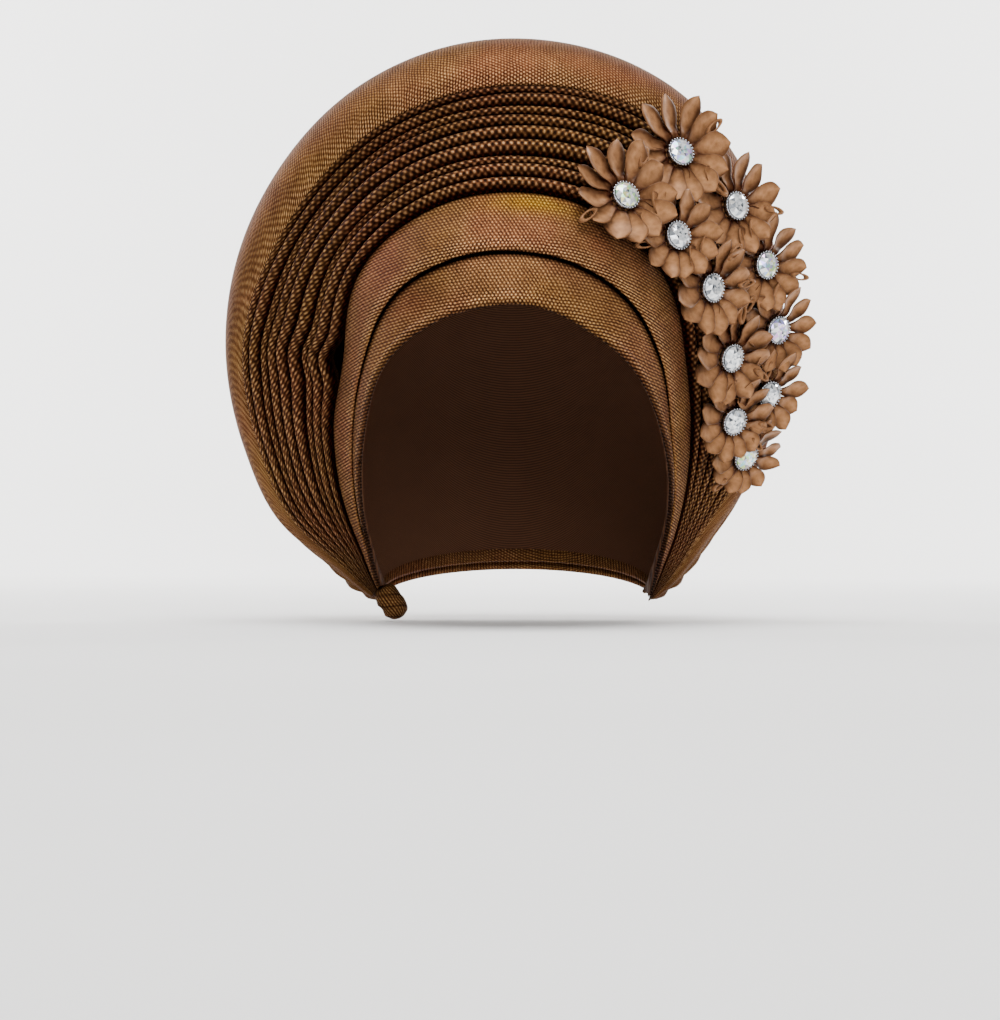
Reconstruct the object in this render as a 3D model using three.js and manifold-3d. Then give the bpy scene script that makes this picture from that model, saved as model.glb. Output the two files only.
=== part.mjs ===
// A ready-made gele head tie: stiff bronze cloth wrapped and pleated into a halo over a fitted cap,
// with a cluster of folded ribbon flowers, each with a cut crystal, on the wearer's left.
// Millimetres, +Z up, the face looks along -Y. The origin is the point inside the cap that rests on
// the crown of the head. Every layer of cloth runs from one gathered end behind the ear, over the
// head, to the other: a row is one such run, and it lies in a plane through the tie line that joins
// the two ends. An angle goes round the face centre, seen from the front: 90 degrees is straight up.
import * as THREE from "three";
import { mergeVertices } from "three/addons/utils/BufferGeometryUtils.js";
import Module from "manifold-3d";

const wasm = await Module();
wasm.setup();

// Cloth
const capWall = 2;
const bandWall = 1.8;
const fanWall = 2;
const layerGap = 0.5; // between the bands
const drapeGap = 1.8; // between the cap and the back of the fan
const seatGap = 0.3; // between a piece and the one that it rests on

// The tie line and the face opening
const tieBack = 50; // behind the origin
const tieDrop = 178; // below the origin
const faceCentreDrop = 90; // below the origin
const leftEndAngle = 233;
const rightEndAngle = -55;

// The cap
const capHalfWidth = 77.5;
const leftEndHalf = capHalfWidth * 0.742; // half the width between the gathered ends
const rightEndHalf = capHalfWidth * 0.723;
const faceReach = capHalfWidth * 1.303; // face centre to the gathered ends
const endLift = 5; // the ends stop this far above the tie line

// The wrap, in the order that it lies outwards from the face
const browBandWidth = 23.2;
const overBandWidth = 23.5;
const overBandBulge = 1.6;
const browBulge = 1.4;
const pleatPitch = 5.33;
const pleatDepth = 4.6;
const panelWidth = 23.6;
const panelLip = 4.2; // how far the plain outer panel stands proud of the last pleat

// How far each row lies in front of the tie line, where it passes over the head
const hemForward = 145;
const creaseForward = 136;
const overBandForward = 112;
const panelForward = 74;
const rimForward = 36;

// The rolled end of the cloth behind the wearer's right ear
const knotRadius = 5.6;
const knotLength = 12;
const knotLean = 35; // degrees from straight down
const knotOut = 1.2;
const knotDrop = 1.7; // below the ends of the cap

// Ribbon flowers and crystals
const flowerRadius = 20;
const discRadius = 6.4;
const discHeight = 3.4;
const petalCount = 12;
const petalHalfWidth = 3.7;
const petalWidest = 0.68; // share of its reach where it is widest
const petalRoot = 5.5; // from the flower's axis
const petalRootHalf = 1.4;
const petalThickness = 1.5;
const petalCup = 1.7; // edges above the middle
const petalRise = 6.8; // tip above the root
const petalStagger = 0.6; // every second petal lies this much higher
const flowerGap = 0.5; // between the petals of neighbours
const settingRadius = 6.5;
const settingHeight = 2.7;
const settingLobes = 12;
const stoneRadius = 4.9;
const stoneHeight = 3.2;
const stoneSides = 10;

const stationCount = 30;

// Widths round the face. opening is a share of faceReach, the others of the width that they name.
const SECTIONS = [
  { angle: 233, opening: 0.985, brow: 0.06, over: 0.05, pleats: 0.08, panel: 0.075 },
  { angle: 222, opening: 0.874, brow: 0.13, over: 0.094, pleats: 0.252, panel: 0.119 },
  { angle: 206, opening: 0.746, brow: 0.228, over: 0.217, pleats: 0.538, panel: 0.25 },
  { angle: 190, opening: 0.653, brow: 0.31, over: 0.306, pleats: 0.702, panel: 0.322 },
  { angle: 168, opening: 0.572, brow: 0.461, over: 0.319, pleats: 0.929, panel: 0.403 },
  { angle: 142, opening: 0.461, brow: 0.918, over: 0.694, pleats: 0.815, panel: 0.767 },
  { angle: 116, opening: 0.389, brow: 1.039, over: 0.923, pleats: 0.915, panel: 0.962 },
  { angle: 90, opening: 0.367, brow: 0.996, over: 1.009, pleats: 1.0, panel: 1.0 },
  { angle: 64, opening: 0.368, brow: 1.0, over: 0.957, pleats: 1.02, panel: 0.805 },
  { angle: 38, opening: 0.4, brow: 0.957, over: 0.715, pleats: 0.819, panel: 0.686 },
  { angle: 12, opening: 0.5, brow: 0.599, over: 0.391, pleats: 0.719, panel: 0.483 },
  { angle: -12, opening: 0.62, brow: 0.276, over: 0.323, pleats: 0.565, panel: 0.301 },
  { angle: -33, opening: 0.781, brow: 0.159, over: 0.149, pleats: 0.283, panel: 0.216 },
  { angle: -55, opening: 0.99, brow: 0.05, over: 0.045, pleats: 0.07, panel: 0.07 },
];

// Pleats from the inside out: width as a share of pleatPitch, height as a share of pleatDepth.
const PLEATS = [
  { width: 0.98, height: 0.9 },
  { width: 1.11, height: 1.0 },
  { width: 0.77, height: 0.65 },
  { width: 1.32, height: 1.0 },
  { width: 1.15, height: 1.0 },
  { width: 1.02, height: 0.85 },
  { width: 0.77, height: 0.6 },
  { width: 1.11, height: 0.85 },
  { width: 0.77, height: 0.65 },
];

// Rows of the cap over the crown and down to the nape. reach is a share of the crown's own reach,
// width of capHalfWidth, and widest is how high up the row it is widest, as a share of its reach.
// The fan's back stands off the cap by two shares of the rim's height over the cap: stand along
// the rim's own direction, and swell straight out from the cap.
const CROWN = [
  { tilt: 114, reach: 1.053, width: 0.99, widest: 0.48, stand: 1, swell: 0 },
  { tilt: 105.7, reach: 1, width: 1, widest: 0.48, stand: 1, swell: 0 },
  { tilt: 98, reach: 0.953, width: 1.01, widest: 0.49, stand: 1, swell: 0 },
  { tilt: 90, reach: 0.9, width: 1.01, widest: 0.5, stand: 0.7, swell: 0.2 },
  { tilt: 82, reach: 0.825, width: 1.0, widest: 0.5, stand: 0.5, swell: 0.33 },
  { tilt: 73, reach: 0.71, width: 0.985, widest: 0.5, stand: 0.3, swell: 0.36 },
  { tilt: 64, reach: 0.573, width: 0.955, widest: 0.48, stand: 0.14, swell: 0.32 },
  { tilt: 54, reach: 0.42, width: 0.905, widest: 0.44, stand: 0.05, swell: 0.24 },
  { tilt: 44, reach: 0.285, width: 0.84, widest: 0.36, stand: 0, swell: 0.15 },
  { tilt: 32, reach: 0.17, width: 0.77, widest: 0.25, stand: 0, swell: 0.03 },
];
const RIM_ROW = CROWN.findIndex((row) => row.stand < 1) - 1; // lies under the rim

// Where each row's plane meets the tie line, from the front edge to the nape.
const FRONT_SHIFTS = [-8, -6.6, -4.2, -1, 1];
const BACK_SHIFT = 9;

// Flowers: angle round the face centre, reach across the pleats and panel from the over-band (0) to
// the rim (1), size as a share of flowerRadius, spin in degrees and lean outwards in degrees.
const FLOWERS = [
  { angle: 63.0, reach: 0.087, size: 1.05, spin: 4, lean: -8 },
  { angle: 57.5, reach: 0.565, size: 1.07, spin: 11, lean: -9 },
  { angle: 42.8, reach: 0.672, size: 1.0, spin: 20, lean: -5 },
  { angle: 46.9, reach: 0.147, size: 0.9, spin: 7, lean: -12 },
  { angle: 31.6, reach: 0.205, size: 0.95, spin: 15, lean: -9 },
  { angle: 29.6, reach: 0.744, size: 0.95, spin: 25, lean: -3 },
  { angle: 12.7, reach: 0.308, size: 0.95, spin: 2, lean: -6 },
  { angle: 16.2, reach: 0.785, size: 0.88, spin: 12, lean: -3 },
  { angle: -4.3, reach: 0.361, size: 0.85, spin: 18, lean: -8 },
  { angle: 2.6, reach: 0.724, size: 0.85, spin: 9, lean: -2 },
  { angle: -12.6, reach: 0.6, size: 0.82, spin: 14, lean: -5 },
];

const RAD = Math.PI / 180;
const vec = (x, y, z) => new THREE.Vector3(x, y, z);
const mix = (a, b, share) => a.clone().lerp(b, share);
const span = (from, to) => Array.from({ length: to - from + 1 }, (_, i) => from + i);

// A smooth function through one column of a table, by cubic pieces with averaged slopes.
function through(table, key, column) {
  const rows = [...table].sort((a, b) => a[key] - b[key]);
  const xs = rows.map((row) => row[key]);
  const ys = rows.map((row) => row[column]);
  const last = xs.length - 1;
  const slope = xs.map((_, i) => {
    const low = Math.max(0, i - 1);
    const high = Math.min(last, i + 1);
    return (ys[high] - ys[low]) / (xs[high] - xs[low]);
  });
  return (x) => {
    let i = 0;
    while (i < last - 1 && x > xs[i + 1]) i += 1;
    const span = xs[i + 1] - xs[i];
    const t = Math.min(1, Math.max(0, (x - xs[i]) / span));
    const rise = t * t * (3 - 2 * t);
    return (
      ys[i] * (1 - rise) +
      ys[i + 1] * rise +
      span * (slope[i] * t * (1 - t) ** 2 - slope[i + 1] * t * t * (1 - t))
    );
  };
}

const opening = through(SECTIONS, "angle", "opening");
const brow = through(SECTIONS, "angle", "brow");
const over = through(SECTIONS, "angle", "over");
const pleats = through(SECTIONS, "angle", "pleats");
const panel = through(SECTIONS, "angle", "panel");
const pleatZone = PLEATS.length * pleatPitch;

// The radii of the hem, crease, over-band top, panel edge and rim at an angle.
function radii(angle) {
  const hem = faceReach * opening(angle);
  const crease = hem + browBandWidth * brow(angle);
  const top = crease + overBandWidth * over(angle);
  const edge = top + pleatZone * pleats(angle);
  return [hem, crease, top, edge, edge + panelWidth * panel(angle)];
}

const TOP = SECTIONS.find((row) => row.over > 1).angle; // the row straight over the face
const forwards = [hemForward, creaseForward, overBandForward, panelForward, rimForward];
const slopes = radii(TOP).map(
  (r, k) => (forwards[k] + FRONT_SHIFTS[k]) / (r - faceCentreDrop + tieDrop),
);

// A point of front row k, 0 to 4, at an angle: its plane leans forward by its slope.
function frontRow(angle, k) {
  const r = radii(angle)[k];
  const z = r * Math.sin(angle * RAD) - faceCentreDrop;
  const y = tieBack + FRONT_SHIFTS[k] - slopes[k] * (z + tieDrop);
  return vec(r * Math.cos(angle * RAD), y, z);
}

// A row of the cap over the head: an arch that is widest part of the way up and closes in to the
// gathered end on either side.
const crownReach = Math.hypot(tieBack, tieDrop) + capWall;
function crownRow(angle, row) {
  const { tilt, reach, width, widest } = CROWN[row];
  const left = angle > TOP;
  const end = left ? leftEndHalf : rightEndHalf;
  const half = Math.max(capHalfWidth * width, end * 1.02);
  const top = crownReach * reach;
  const waist = top * widest;
  const turn = Math.abs(angle - TOP);
  const lastTurn = Math.abs((left ? leftEndAngle : rightEndAngle) - TOP);
  let x;
  let up;
  if (turn < 90) {
    x = half * Math.sin(turn * RAD);
    up = waist + (top - waist) * Math.cos(turn * RAD);
  } else {
    const lastSwing = Math.acos(end / half);
    const swing = (lastSwing * (turn - 90)) / (lastTurn - 90);
    x = half * Math.cos(swing);
    const fall = Math.sin(swing) / Math.sin(lastSwing);
    up = waist * (1 - fall) + endLift * fall;
  }
  const shift = (BACK_SHIFT * row) / (CROWN.length - 1);
  const a = tilt * RAD;
  return vec(left ? -x : x, tieBack + shift + up * Math.cos(a), up * Math.sin(a) - tieDrop);
}

// The outward normal of a surface given as a function of angle and row.
function normalOf(surface, angle, row, lowRow, highRow) {
  const turn = 1.5;
  const step = 0.25;
  const before = surface(Math.min(angle + turn, leftEndAngle), row);
  const after = surface(Math.max(angle - turn, rightEndAngle), row);
  const inner = surface(angle, Math.max(row - step, lowRow));
  const outer = surface(angle, Math.min(row + step, highRow));
  return after.sub(before).cross(outer.sub(inner)).normalize();
}

// The cap over the crown and nape, as a surface of angle and row number, rows joined straight.
const lastCrown = CROWN.length - 1;
function crownSurface(angle, row) {
  const low = Math.min(Math.floor(row), lastCrown - 1);
  return mix(crownRow(angle, low), crownRow(angle, low + 1), row - low);
}
const crownNormal = (angle, row) => normalOf(crownSurface, angle, row, 0, lastCrown);

// The wrap's smooth outer surface. Rows 1 to 4 are the crease, over-band top, panel edge and rim,
// and from 4 on it goes down the back, closing on the cap, to the nape.
const [CREASE, BAND_TOP, PANEL_EDGE, RIM] = [1, 2, 3, 4];
const NAPE = RIM + lastCrown - RIM_ROW;
function backRow(angle, row) {
  const k = row - RIM + RIM_ROW;
  const rise = frontRow(angle, RIM).sub(crownRow(angle, RIM_ROW));
  const { stand, swell } = CROWN[k];
  const out = swell * rise.length() + (1 - stand) * (drapeGap + fanWall);
  return crownRow(angle, k).addScaledVector(rise, stand).addScaledVector(crownNormal(angle, k), out);
}
function wrap(angle, row) {
  if (row >= RIM) {
    const low = Math.min(Math.floor(row), NAPE - 1);
    return mix(backRow(angle, low), backRow(angle, low + 1), row - low);
  }
  const low = Math.max(CREASE, Math.min(Math.floor(row), RIM - 1));
  const a = frontRow(angle, low);
  const b = frontRow(angle, low + 1);
  const share = row - low;
  if (low < PANEL_EDGE) return mix(a, b, share);
  const roll = share * 90 * RAD;
  const across = Math.sin(roll);
  return vec(
    a.x + (b.x - a.x) * across,
    a.y + (b.y - a.y) * (1 - Math.cos(roll)),
    a.z + (b.z - a.z) * across,
  );
}
const wrapNormal = (angle, row) => normalOf(wrap, angle, row, CREASE, NAPE);
function lifted(angle, row, height) {
  return wrap(angle, row).addScaledVector(wrapNormal(angle, row), height);
}

// Lofts closed outlines, one for each station, all with as many points, into one solid. From point
// turnAt on the outline runs back along the inside, and its faces are split along the other
// diagonal, so that two layers that lie on each other have parallel faces.
function loft(outlines, turnAt) {
  const count = outlines[0].length;
  const points = outlines.flat();
  const faces = [];
  for (let s = 0; s + 1 < outlines.length; s += 1) {
    for (let i = 0; i < count; i += 1) {
      const a = s * count + i;
      const b = s * count + ((i + 1) % count);
      if (i < turnAt) faces.push(a, b, b + count, a, b + count, a + count);
      else faces.push(a, b, a + count, b, b + count, a + count);
    }
  }
  const lastStart = count * (outlines.length - 1);
  for (const [a, b, c] of endFaces(outlines[0], turnAt)) faces.push(a, c, b);
  for (const [a, b, c] of endFaces(outlines.at(-1), turnAt)) {
    faces.push(lastStart + a, lastStart + b, lastStart + c);
  }
  return solidOf(points, faces);
}

// The triangles of one closed outline, laced from its outside, which ends at point turnAt, to its
// inside: each step goes along the side that is less far along.
function endFaces(outline, turnAt) {
  const outside = span(0, turnAt);
  const inside = span(turnAt + 1, outline.length - 1).reverse();
  const along = (chain) => {
    const sums = [0];
    chain.slice(1).forEach((p, i) => sums.push(sums[i] + outline[p].distanceTo(outline[chain[i]])));
    return sums.map((sum) => sum / sums.at(-1));
  };
  const [outAlong, inAlong] = [along(outside), along(inside)];
  const faces = [];
  let [o, i] = [0, 0];
  while (o < outside.length - 1 || i < inside.length - 1) {
    if (i === inside.length - 1 || (o < outside.length - 1 && outAlong[o + 1] <= inAlong[i + 1])) {
      faces.push([outside[o], outside[o + 1], inside[i]]);
      o += 1;
    } else {
      faces.push([outside[o], inside[i + 1], inside[i]]);
      i += 1;
    }
  }
  return faces;
}

function solidOf(points, faces) {
  const vertProperties = new Float32Array(points.flatMap((p) => [p.x, p.y, p.z]));
  const made = new wasm.Manifold(
    new wasm.Mesh({ numProp: 3, vertProperties, triVerts: new Uint32Array(faces) }),
  );
  if (made.volume() > 0) return made;
  const turned = faces.slice();
  for (let i = 0; i < turned.length; i += 3) {
    [turned[i + 1], turned[i + 2]] = [turned[i + 2], turned[i + 1]];
  }
  return new wasm.Manifold(
    new wasm.Mesh({ numProp: 3, vertProperties, triVerts: new Uint32Array(turned) }),
  );
}

function solidOfGeometry(geometry) {
  geometry.deleteAttribute("normal");
  geometry.deleteAttribute("uv");
  const merged = mergeVertices(geometry, 1e-4);
  return new wasm.Manifold(
    new wasm.Mesh({
      numProp: 3,
      vertProperties: merged.attributes.position.array,
      triVerts: new Uint32Array(merged.index.array),
    }),
  );
}

function geometryOf(solid) {
  const mesh = solid.getMesh();
  const geometry = new THREE.BufferGeometry();
  const positions = new Float32Array(mesh.numVert * 3);
  for (let i = 0; i < mesh.numVert; i += 1) {
    for (let axis = 0; axis < 3; axis += 1) {
      positions[3 * i + axis] = mesh.vertProperties[mesh.numProp * i + axis];
    }
  }
  geometry.setAttribute("position", new THREE.BufferAttribute(positions, 3));
  geometry.setIndex(new THREE.BufferAttribute(new Uint32Array(mesh.triVerts), 1));
  geometry.computeVertexNormals();
  return geometry;
}

const angles = Array.from(
  { length: stationCount },
  (_, i) => leftEndAngle + ((rightEndAngle - leftEndAngle) * i) / (stationCount - 1),
);

// The cap: the brow band in front, under the over-band, over the head and down to the nape.
function capPoint(angle, row) {
  if (row <= CREASE) {
    const hem = frontRow(angle, 0);
    const crease = underWrap(angle, CREASE);
    return mix(hem, crease, row);
  }
  if (row <= BAND_TOP) return mix(underWrap(angle, CREASE), underWrap(angle, BAND_TOP), row - CREASE);
  const crown = row - BAND_TOP - 1;
  if (crown < 0) return mix(underWrap(angle, BAND_TOP), crownRow(angle, 0), row - BAND_TOP);
  return crownSurface(angle, crown);
}
const underWrap = (angle, row) => lifted(angle, row, -bandWall - layerGap);
const CAP_END = BAND_TOP + 1 + lastCrown;
function cap(extra = 0, wall = capWall) {
  const outerRows = [0, 0.3, 0.7, ...span(1, CAP_END)];
  const innerRows = span(0, CAP_END).reverse();
  return loft(
    angles.map((angle) => {
      const bulge = browBulge * brow(angle);
      const at = (row, height) =>
        capPoint(angle, row).addScaledVector(normalOf(capPoint, angle, row, 0, CAP_END), height);
      const outer = outerRows.map((row) =>
        at(row, (row < 1 ? bulge * Math.sin(row * 180 * RAD) : 0) + extra),
      );
      return [...outer, ...innerRows.map((row) => at(row, -wall))];
    }),
    outerRows.length - 1,
  );
}

// The over-band: a folded strip whose lower edge lies over the brow band.
function overBand(extra = 0) {
  const outerShares = [0, 0.08, 0.35, 0.7, 1];
  return loft(
    angles.map((angle) => {
      const width = overBandWidth * over(angle);
      const last = 1 - seatGap / 2 / Math.max(width, 1);
      const bulge = overBandBulge * over(angle);
      const outer = outerShares.map((share) =>
        lifted(angle, CREASE + share * last, bulge * Math.sin(share * 180 * RAD) ** 0.6 + extra),
      );
      const inner = [1, 0].map((share) => lifted(angle, CREASE + share * last, -bandWall));
      return [...outer, ...inner];
    }),
    outerShares.length - 1,
  );
}

// The fan: pleats, the plain outer panel that rolls over the rim, and the plain back.
const pleatShape = [
  { across: 0, height: 0 },
  { across: 0.3, height: 0.9 },
  { across: 0.72, height: 1 },
];
const panelShares = [0, 0.25, 0.5, 0.75];
function fan(extra = 0) {
  const backRows = span(RIM, NAPE);
  return loft(
    angles.map((angle) => {
      const zone = pleatZone * pleats(angle);
      const depth = Math.min(pleatDepth, (zone / PLEATS.length) * 0.85);
      const first = seatGap / 2 / Math.max(zone, 1);
      const outer = [];
      let start = 0;
      for (const { width, height } of PLEATS) {
        for (const { across, height: up } of pleatShape) {
          const share = first + (1 - first) * ((start + across * width) / PLEATS.length);
          outer.push(lifted(angle, BAND_TOP + share, depth * height * up + extra));
        }
        start += width;
      }
      outer.push(lifted(angle, PANEL_EDGE, extra));
      const lip = (share) => panelLip * panel(angle) * Math.cos(share * 90 * RAD);
      for (const share of panelShares) {
        outer.push(lifted(angle, PANEL_EDGE + 0.02 + share * 0.98, lip(share) + extra));
      }
      for (const row of backRows) outer.push(lifted(angle, row, extra));
      const inner = [...backRows].reverse().map((row) => lifted(angle, row, -fanWall));
      for (const share of [...panelShares].reverse()) {
        const row = PANEL_EDGE + 0.1 + share * 0.9;
        inner.push(lifted(angle, row, lip(share) - fanWall));
      }
      inner.push(lifted(angle, PANEL_EDGE, -fanWall), lifted(angle, BAND_TOP + first, -fanWall));
      return [...outer, ...inner];
    }),
    PLEATS.length * pleatShape.length + 1 + panelShares.length + backRows.length - 1,
  );
}

const cloth = new THREE.MeshStandardMaterial({ color: 0x8a5a2e, roughness: 0.55, metalness: 0.35 });
const lining = new THREE.MeshStandardMaterial({ color: 0x7d5028, roughness: 0.6, metalness: 0.3 });

const root = new THREE.Group();
function place(name, solid, material) {
  const mesh = new THREE.Mesh(geometryOf(solid), material);
  mesh.name = name;
  root.add(mesh);
}

function largest(solid) {
  return solid.decompose().sort((a, b) => b.volume() - a.volume())[0];
}

const capSolid = cap();
const capKeepOut = cap(seatGap, 9);
const bandSolid = largest(overBand().subtract(capKeepOut));
const fanSolid = largest(fan().subtract(capKeepOut));
place("cap", capSolid, lining);
place("over_band", bandSolid, cloth);
place("pleated_fan", fanSolid, cloth);

// Points spread over a solid's faces, close enough together to seat a flower on.
function facePoints(solid, steps = 8) {
  const mesh = solid.getMesh();
  const corner = (i) => vec(...mesh.vertProperties.slice(mesh.numProp * i, mesh.numProp * i + 3));
  const points = [];
  for (let t = 0; t < mesh.triVerts.length; t += 3) {
    const [a, b, c] = [0, 1, 2].map((i) => corner(mesh.triVerts[t + i]));
    for (let i = 0; i <= steps; i += 1) {
      for (let j = 0; j <= steps - i; j += 1) {
        const toA = a.clone().sub(c).multiplyScalar(i / steps);
        points.push(b.clone().sub(c).multiplyScalar(j / steps).add(toA).add(c));
      }
    }
  }
  return points;
}

// The upright frame of a flower on the wrap, before it is seated.
function flowerFrame({ angle, reach, lean, spin }) {
  const [, , top, edge, rim] = radii(angle);
  const r = top + reach * (rim - top);
  const row = r < edge ? BAND_TOP + (r - top) / (edge - top) : PANEL_EDGE + (r - edge) / (rim - edge);
  const axis = wrapNormal(angle, row);
  const side = vec(0, -1, 0).cross(axis).normalize();
  axis.applyAxisAngle(side, lean * RAD);
  const across = vec(0, 0, 1).projectOnPlane(axis).normalize().applyAxisAngle(axis, spin * RAD);
  const basis = new THREE.Matrix4().makeBasis(across, axis.clone().cross(across), axis);
  return basis.setPosition(wrap(angle, row));
}

// How far a petal has risen at a share of its reach: the flower is a shallow bowl.
const petalHeight = (reach) => petalRise * reach ** 1.6;

// The underside of a flower, at a distance from its axis.
function undersideAt(r, radius) {
  if (r < discRadius) return 0;
  return petalHeight(r / radius);
}

function seatHeight(frame, radius, points) {
  const back = frame.clone().invert();
  let seat = -20;
  for (const point of points) {
    const p = point.clone().applyMatrix4(back);
    const r = Math.hypot(p.x, p.y);
    if (r > radius || Math.abs(p.z) > 15) continue;
    seat = Math.max(seat, p.z + seatGap + 0.1 - undersideAt(r, radius));
  }
  return seat;
}

function petal(radius, lift) {
  const size = radius / flowerRadius;
  const sections = [
    { reach: petalRoot / radius, half: petalRootHalf },
    { reach: petalWidest, half: petalHalfWidth * size },
  ];
  const points = [];
  for (const { reach, half } of sections) {
    const r = reach * radius;
    const z = petalThickness / 2 + petalHeight(reach) + lift;
    const edge = z + (petalCup * half) / petalHalfWidth;
    points.push(vec(r, -half, edge), vec(r, 0, z - petalThickness / 2));
    points.push(vec(r, half, edge), vec(r, 0, z + petalThickness / 2));
  }
  points.push(vec(radius, 0, petalThickness / 2 + petalRise + lift));
  const faces = [0, 1, 2, 0, 2, 3];
  for (let i = 0; i < 4; i += 1) {
    const j = (i + 1) % 4;
    faces.push(i, 4 + i, j, j, 4 + i, 4 + j, 4 + i, 8, 4 + j);
  }
  return solidOf(points, faces);
}

function cylinder(radius, height, sides) {
  const geometry = new THREE.CylinderGeometry(radius, radius, height, sides);
  geometry.rotateX(Math.PI / 2).translate(0, 0, height / 2);
  return solidOfGeometry(geometry);
}

function flower(radius) {
  let whole = cylinder(discRadius, discHeight, petalCount);
  for (let i = 0; i < petalCount; i += 1) {
    const blade = petal(radius, i % 2 === 1 ? petalStagger : 0);
    whole = whole.add(blade.rotate([0, 0, (360 * i) / petalCount]));
  }
  return whole;
}

// A turned solid from rings of [radius, height], closed at both ends; every second corner of a
// ring may be drawn in by a share.
function turned(rings, sides, drawIn = []) {
  const points = [];
  const faces = [];
  rings.forEach(([radius, z], k) => {
    for (let i = 0; i < sides; i += 1) {
      const turn = (2 * Math.PI * i) / sides;
      const r = i % 2 === 1 ? radius * (1 - (drawIn[k] ?? 0)) : radius;
      points.push(vec(r * Math.cos(turn), r * Math.sin(turn), z));
    }
  });
  for (let k = 0; k + 1 < rings.length; k += 1) {
    for (let i = 0; i < sides; i += 1) {
      const a = k * sides + i;
      const b = k * sides + ((i + 1) % sides);
      faces.push(a, b, b + sides, a, b + sides, a + sides);
    }
  }
  const end = (rings.length - 1) * sides;
  for (let i = 1; i + 1 < sides; i += 1) {
    faces.push(0, i + 1, i, end, end + i, end + i + 1);
  }
  return solidOf(points, faces);
}

// The cup that holds a stone: a beaded wall round a sloping seat.
function setting() {
  const rings = [
    [settingRadius * 0.86, 0],
    [settingRadius, settingHeight * 0.75],
    [stoneRadius + seatGap, settingHeight],
    [1.6, 0.9],
  ];
  return turned(rings, settingLobes, [0, 0.08, 0, 0]);
}

// A round stone: a flat table, a crown of facets down to the girdle and a pointed pavilion.
function stone() {
  const rings = [
    [0.9, 0],
    [stoneRadius, stoneHeight * 0.55],
    [stoneRadius * 0.58, stoneHeight],
  ];
  return turned(rings, stoneSides);
}

const satin = new THREE.MeshStandardMaterial({ color: 0xa97c52, roughness: 0.35, metalness: 0.1 });
const silver = new THREE.MeshStandardMaterial({ color: 0xd8dade, roughness: 0.25, metalness: 0.9 });
const glass = new THREE.MeshStandardMaterial({ color: 0xe8eef2, roughness: 0.05, metalness: 0 });

const seatPoints = [...facePoints(fanSolid), ...facePoints(bandSolid)];
const placed = FLOWERS.map((row) => {
  const radius = flowerRadius * row.size;
  const frame = flowerFrame(row);
  const lift = new THREE.Matrix4().makeTranslation(0, 0, seatHeight(frame, radius, seatPoints));
  const seated = frame.multiply(lift);
  return { radius, frame: seated, centre: vec(0, 0, discHeight).applyMatrix4(seated) };
});

// A box whose near face is the plane half way between two flowers, on the far side of it.
function beyond(own, other) {
  const axis = other.centre.clone().sub(own.centre).normalize();
  const apart = other.centre.distanceTo(own.centre);
  const share = own.radius / (own.radius + other.radius);
  const box = solidOfGeometry(new THREE.BoxGeometry(80, 80, 80));
  const turn = new THREE.Matrix4().lookAt(axis, vec(0, 0, 0), vec(0, 0, 1));
  const at = own.centre.clone().addScaledVector(axis, apart * share - flowerGap / 2 + 40);
  return box.transform(turn.setPosition(at).elements);
}

placed.forEach((own, i) => {
  const name = String(i + 1).padStart(2, "0");
  const toWorld = own.frame.elements;
  let whole = flower(own.radius).transform(toWorld);
  for (const other of placed) {
    if (other === own || other.centre.distanceTo(own.centre) > own.radius + other.radius) continue;
    whole = whole.subtract(beyond(own, other));
  }
  place(`flower_${name}`, largest(whole), satin);
  const onDisc = own.frame.clone().multiply(new THREE.Matrix4().makeTranslation(0, 0, discHeight + seatGap));
  place(`setting_${name}`, setting().transform(onDisc.elements), silver);
  const inCup = onDisc.multiply(new THREE.Matrix4().makeTranslation(0, 0, 0.9 + 2 * seatGap));
  place(`stone_${name}`, stone().transform(inCup.elements), glass);
});

// The rolled end: a short barrel with two soft waists, hung from the gathered end.
function knot() {
  const rings = [
    [knotRadius * 0.45, 0],
    [knotRadius * 0.9, 1.4],
    [knotRadius, 3.4],
    [knotRadius * 0.9, 5.2],
    [knotRadius * 0.99, 7.4],
    [knotRadius * 0.82, 10],
    [knotRadius * 0.4, knotLength],
  ];
  return turned(rings, 10);
}
const knotAt = new THREE.Matrix4()
  .makeRotationY(180 * RAD - knotLean * RAD)
  .setPosition(crownRow(leftEndAngle, 0).add(vec(-knotOut, 0, -knotDrop)));
const knotKeepOut = fan(seatGap).add(overBand(seatGap)).add(capKeepOut);
place("rolled_end", largest(knot().transform(knotAt.elements).subtract(knotKeepOut)), cloth);

export default root;
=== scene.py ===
"""A ready-made gele head tie of woven bronze cloth, with a cluster of ribbon flowers and crystals.

Every cloth layer is a run of rows over the head, from the gathered end behind one ear to the one
behind the other. A surface is a function of an angle round the face centre (90 degrees is straight
up) and a row number across the layers, in millimetres, and each piece is a closed wall that follows
it. The meshes are made in metres.
"""
import math

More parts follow.
